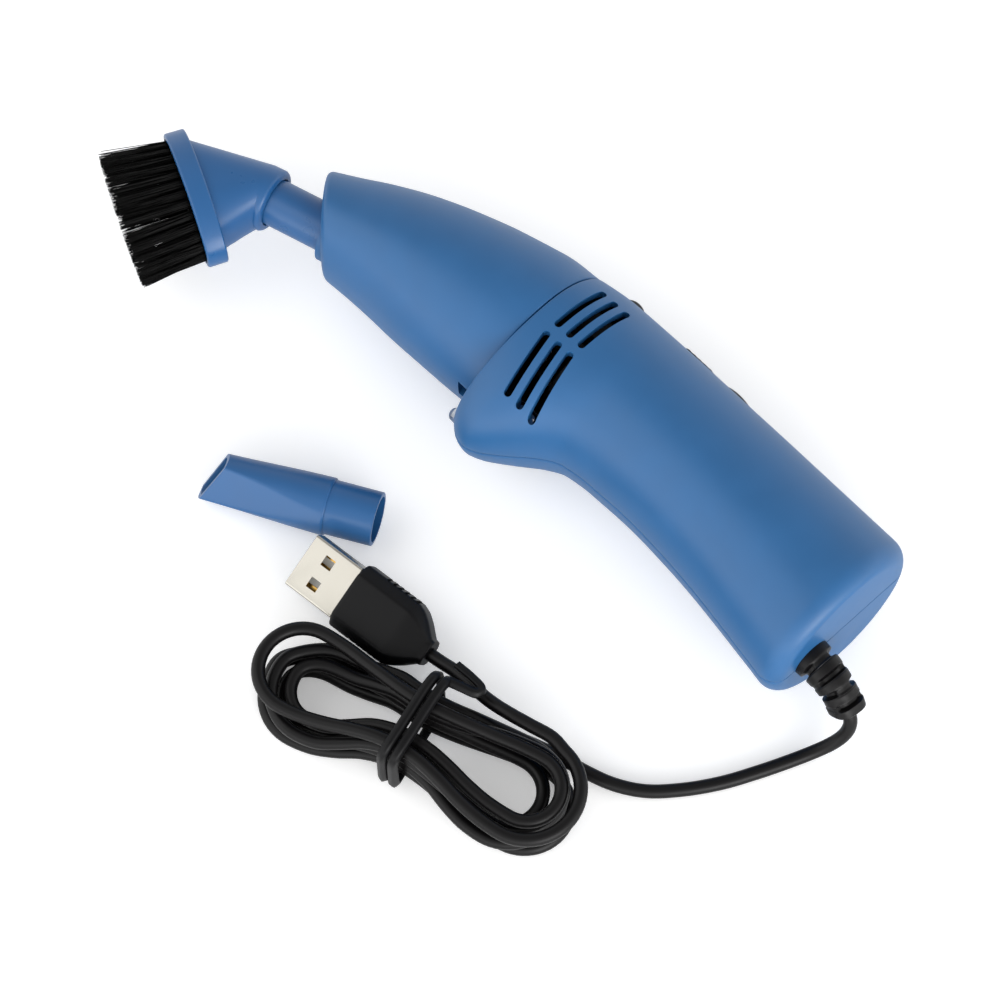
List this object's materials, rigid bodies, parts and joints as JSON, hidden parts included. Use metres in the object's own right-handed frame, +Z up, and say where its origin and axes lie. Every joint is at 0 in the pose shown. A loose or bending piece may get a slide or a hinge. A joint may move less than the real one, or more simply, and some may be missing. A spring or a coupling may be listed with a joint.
{
  "type": "desktop mini vacuum cleaner",
  "caption": "Corded mini vacuum cleaner for keyboards, lying on its side, with finger hump, slide switch, bristle brush on a slanted snout, hanked USB cord and a loose crevice nozzle.",
  "frame": {"origin": "middle of the flat on the lower handle half on which the cleaner lies, at table height", "axes": "+X along the nozzle tube to the brush, +Y to the finger hump, +Z up from the table"},
  "size_m": [0.1927, 0.1123, 0.0352],
  "materials": {
    "blue_plastic": "satin moulded ABS with a fine grain",
    "gloss_blue_plastic": "glossier moulded plastic",
    "black_plastic": "satin black moulding",
    "black_rubber": "soft cord jacket, slight sheen",
    "bristle_nylon": "black nylon filaments",
    "clear_lens": "clear moulded dome",
    "steel": "drawn and plated steel",
    "nickel": "nickel-plated shell",
    "brass": "plain brass",
    "white_plastic": "unpainted white moulding",
    "grey_cloth": "fine non-woven filter cloth",
    "green_board": "soldermask over a laminate board",
    "red_wire": "insulated wire"
  },
  "bodies": {
    "body": {"handle_half_upper": "blue_plastic", "handle_half_lower": "blue_plastic", "filter_seal": "black_rubber", "fan_plate": "black_plastic", "motor_can": "steel", "motor_end_cap": "black_plastic", "motor_bush": "brass", "circuit_board": "green_board", "capacitor": "black_plastic", "motor_lead_red": "red_wire", "motor_lead_black": "black_rubber", "led_lead": "red_wire", "led_lens": "clear_lens", "switch_plate": "black_plastic", "switch_body": "black_plastic", "strain_relief": "black_rubber", "screw_hump": "steel", "screw_middle": "steel", "screw_rear_top": "steel", "screw_rear_belly": "steel", "cord_lead": "black_rubber", "cord_hank": "black_rubber", "twist_tie": "black_rubber", "usb_overmould": "black_plastic", "usb_shell": "nickel", "usb_tongue": "white_plastic", "usb_contact_1": "brass", "usb_contact_2": "brass", "usb_contact_3": "brass", "usb_contact_4": "brass"},
    "cover": {"front_cover": "blue_plastic"},
    "snout": {"nozzle_tube": "gloss_blue_plastic"},
    "brush": {"brush_head": "gloss_blue_plastic", "bristles_belly": "bristle_nylon", "bristles_front": "bristle_nylon", "bristles_top": "bristle_nylon", "bristles_back": "bristle_nylon"},
    "filter": {"filter_frame": "white_plastic", "filter_cloth": "grey_cloth"},
    "fan": {"fan_impeller": "white_plastic", "motor_shaft": "steel"},
    "switch": {"switch_knob": "black_plastic"},
    "loose_nozzle": {"crevice_nozzle": "gloss_blue_plastic"}
  },
  "joints": [
    {"name": "cover_pull", "type": "slide", "parent": "body", "child": "cover", "axis": [1, 0, 0], "range_m": [0, 0.04]},
    {"name": "tube_pull", "type": "slide", "parent": "cover", "child": "snout", "axis": [1, 0, 0], "range_m": [0, 0.014]},
    {"name": "brush_turn", "type": "hinge", "parent": "snout", "child": "brush", "pos_m": [0.109, -0.01238, 0.0175], "axis": [1, 0, 0], "continuous": true},
    {"name": "filter_pull", "type": "slide", "parent": "body", "child": "filter", "axis": [1, 0, 0], "range_m": [0, 0.006]},
    {"name": "fan_spin", "type": "hinge", "parent": "body", "child": "fan", "pos_m": [0, 0, 0.0175], "axis": [0.9563, -0.2924, 0], "continuous": true},
    {"name": "switch_slide", "type": "slide", "parent": "body", "child": "switch", "axis": [0.9563, -0.2924, 0], "range_m": [0, 0.004]},
    {"name": "loose_nozzle_lift", "type": "slide", "parent": "body", "child": "loose_nozzle", "axis": [0, 0, 1], "range_m": [0, 0.03]}
  ]
}
